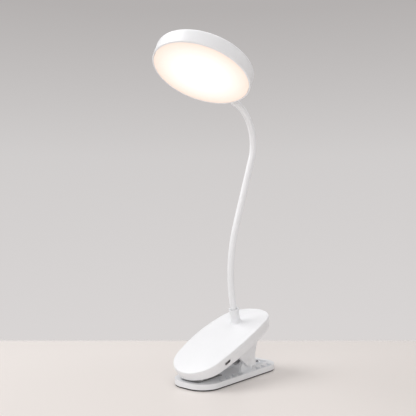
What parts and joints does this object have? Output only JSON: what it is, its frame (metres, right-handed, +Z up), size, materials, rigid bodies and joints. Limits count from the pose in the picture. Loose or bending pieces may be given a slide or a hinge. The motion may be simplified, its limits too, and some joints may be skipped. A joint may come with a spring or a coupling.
{
  "type": "clip-on reading lamp",
  "caption": "Clip-on reading lamp: round LED head on a bendable neck that rises from a sprung, rechargeable clip base with a ribbed lower jaw.",
  "frame": {"origin": "middle of the rubber foot, on the surface that the lamp stands on", "axes": "+Z up, -Y towards the mouth of the clip and the lit side, +X towards the side with the charging socket"},
  "size_m": [0.115, 0.1697, 0.3871],
  "materials": {
    "white_plastic": "smooth injection-moulded white ABS with a soft satin shine",
    "black_rubber": "matt black rubber",
    "grey_rubber": "matt light grey soft rubber with moulded ridges",
    "steel": "plain drawn and turned steel",
    "dark_steel": "blackened steel screw",
    "cell_wrap": "silver pouch film with tape at the end",
    "circuit_board": "green solder mask",
    "socket_metal": "stamped steel shell",
    "copper": "bare copper foil",
    "diffuser_plastic": "milky diffusing acrylic, lit warm white",
    "reflector_white": "white reflector moulding",
    "led_board_aluminium": "white-masked aluminium board",
    "led_chips": "yellow phosphor over white packages",
    "neck_silicone": "smooth white silicone sleeve with a soft sheen",
    "wire_cover": "insulated wire pair"
  },
  "bodies": {
    "lower_jaw_body": {"lower_jaw": "white_plastic", "foot_pad": "black_rubber", "foot_screw": "dark_steel", "lower_grip_pad": "grey_rubber", "hinge_pin": "steel", "torsion_spring": "steel"},
    "clip_housing": {"battery_cell": "cell_wrap", "board_screws": "steel", "control_board": "circuit_board", "lower_shell": "white_plastic", "neck_base_ferrule": "steel", "neck_base_nut": "steel", "neck_core_root": "steel", "neck_sleeve_root": "neck_silicone", "neck_wires_root": "wire_cover", "shell_screws": "steel", "top_cover": "white_plastic", "touch_plate": "copper", "touch_spring": "steel", "upper_grip_pad": "grey_rubber", "usb_socket": "socket_metal"},
    "neck_1": {"neck_sleeve_link_1": "neck_silicone", "neck_core_link_1": "steel", "neck_wires_link_1": "wire_cover"},
    "neck_2": {"neck_sleeve_link_2": "neck_silicone", "neck_core_link_2": "steel", "neck_wires_link_2": "wire_cover"},
    "neck_3": {"neck_sleeve_link_3": "neck_silicone", "neck_core_link_3": "steel", "neck_wires_link_3": "wire_cover"},
    "neck_4": {"neck_sleeve_link_4": "neck_silicone", "neck_core_link_4": "steel", "neck_wires_link_4": "wire_cover"},
    "neck_5": {"neck_sleeve_link_5": "neck_silicone", "neck_core_link_5": "steel", "neck_wires_link_5": "wire_cover"},
    "neck_6": {"neck_sleeve_link_6": "neck_silicone", "neck_core_link_6": "steel", "neck_wires_link_6": "wire_cover"},
    "lamp_head": {"head_housing": "white_plastic", "diffuser": "diffuser_plastic", "reflector": "reflector_white", "led_board": "led_board_aluminium", "led_chips": "led_chips", "led_board_screws": "steel", "neck_sleeve_stub": "neck_silicone", "neck_core_stub": "steel", "neck_wires_stub": "wire_cover", "neck_clip": "steel"}
  },
  "joints": [
    {"name": "jaw_hinge", "type": "hinge", "parent": "lower_jaw_body", "child": "clip_housing", "pos_m": [0, 0.0135, 0.0192], "axis": [-1, 0, 0], "range_deg": [0, 26], "stiffness_Nm_per_rad": 0.4, "springref_deg": -68.75, "deforming": ["torsion_spring"]},
    {"name": "neck_nod_1", "type": "hinge", "parent": "clip_housing", "child": "neck_1", "pos_m": [0, 0.01037, 0.0903], "axis": [1, 0, 0], "range_deg": [-35, 35]},
    {"name": "neck_side_2", "type": "hinge", "parent": "neck_1", "child": "neck_2", "pos_m": [0, 0.00831, 0.13412], "axis": [0, 0.996, -0.0889], "range_deg": [-35, 35]},
    {"name": "neck_nod_3", "type": "hinge", "parent": "neck_2", "child": "neck_3", "pos_m": [0, 0.0181, 0.17687], "axis": [1, 0, 0], "range_deg": [-35, 35]},
    {"name": "neck_side_4", "type": "hinge", "parent": "neck_3", "child": "neck_4", "pos_m": [0, 0.03346, 0.21752], "axis": [0, 0.9354, -0.3535], "range_deg": [-35, 35]},
    {"name": "neck_nod_5", "type": "hinge", "parent": "neck_4", "child": "neck_5", "pos_m": [0, 0.04882, 0.25816], "axis": [1, 0, 0], "range_deg": [-35, 35]},
    {"name": "neck_side_6", "type": "hinge", "parent": "neck_5", "child": "neck_6", "pos_m": [0, 0.04947, 0.29146], "axis": [0, 0.9486, 0.3165], "range_deg": [-35, 35]},
    {"name": "neck_nod_7", "type": "hinge", "parent": "neck_6", "child": "lamp_head", "pos_m": [0, 0.02896, 0.3177], "axis": [1, 0, 0], "range_deg": [-35, 35]}
  ]
}
